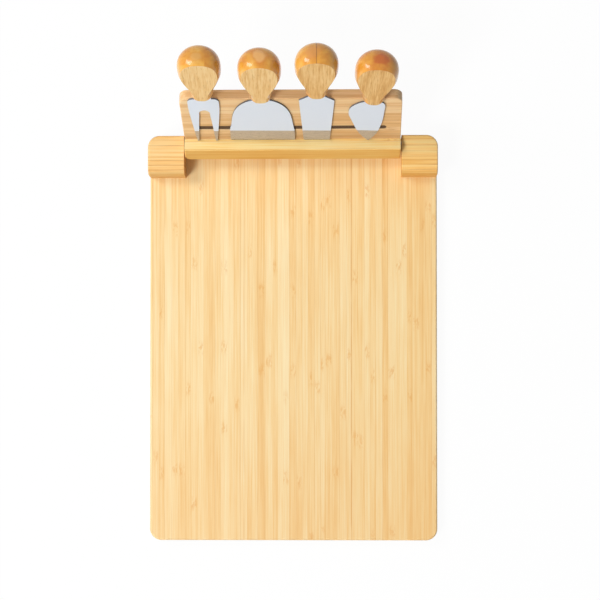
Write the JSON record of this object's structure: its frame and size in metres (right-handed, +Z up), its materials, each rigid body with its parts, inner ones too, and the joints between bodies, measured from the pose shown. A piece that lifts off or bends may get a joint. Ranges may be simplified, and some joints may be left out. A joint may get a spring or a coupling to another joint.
{
  "type": "folding cheese board",
  "caption": "Flat bamboo board with a magnetic knife holder that stands up between two corner blocks or folds down over the board, with short cheese knives on it.",
  "frame": {"origin": "centre of the board's flat underside", "axes": "+X to the user's right along the knife holder, +Y from the near edge towards the hinge, +Z up"},
  "size_m": [0.25, 0.4078, 0.1578],
  "materials": {
    "bamboo_board": "satin",
    "bamboo_block": "satin",
    "bamboo_holder": "satin",
    "bamboo_ledge": "satin",
    "handle_wood": "varnished",
    "blade_steel": "polished",
    "screw_steel": "bright",
    "pin_steel": "bright",
    "magnet": "matt"
  },
  "bodies": {
    "board": {"board": "bamboo_board", "block_left": "bamboo_block", "block_right": "bamboo_block", "block_screws": "screw_steel", "pivot_pin_left": "pin_steel", "pivot_pin_right": "pin_steel"},
    "holder": {"holder_plate": "bamboo_holder", "holder_ledge": "bamboo_ledge", "magnet_strip": "magnet"},
    "fork": {"fork_blade": "blade_steel", "fork_handle": "handle_wood"},
    "cleaver": {"cleaver_blade": "blade_steel", "cleaver_handle": "handle_wood"},
    "plane": {"plane_blade": "blade_steel", "plane_handle": "handle_wood"},
    "spade": {"spade_blade": "blade_steel", "spade_handle": "handle_wood"}
  },
  "joints": [
    {"name": "holder_fold", "type": "hinge", "parent": "board", "child": "holder", "pos_m": [0, 0.1686, 0.0259], "axis": [1, 0, 0], "range_deg": [0, 114]},
    {"name": "fork_draw", "type": "slide", "parent": "holder", "child": "fork", "axis": [0.0044, 0.4067, 0.9135], "range_m": [0, 0.07]},
    {"name": "cleaver_draw", "type": "slide", "parent": "holder", "child": "cleaver", "axis": [0.0122, 0.4067, 0.9135], "range_m": [0, 0.07]},
    {"name": "plane_draw", "type": "slide", "parent": "holder", "child": "plane", "axis": [0.014, 0.4067, 0.9135], "range_m": [0, 0.07]},
    {"name": "spade_draw", "type": "slide", "parent": "holder", "child": "spade", "axis": [0.0593, 0.406, 0.9119], "range_m": [0, 0.07]}
  ]
}
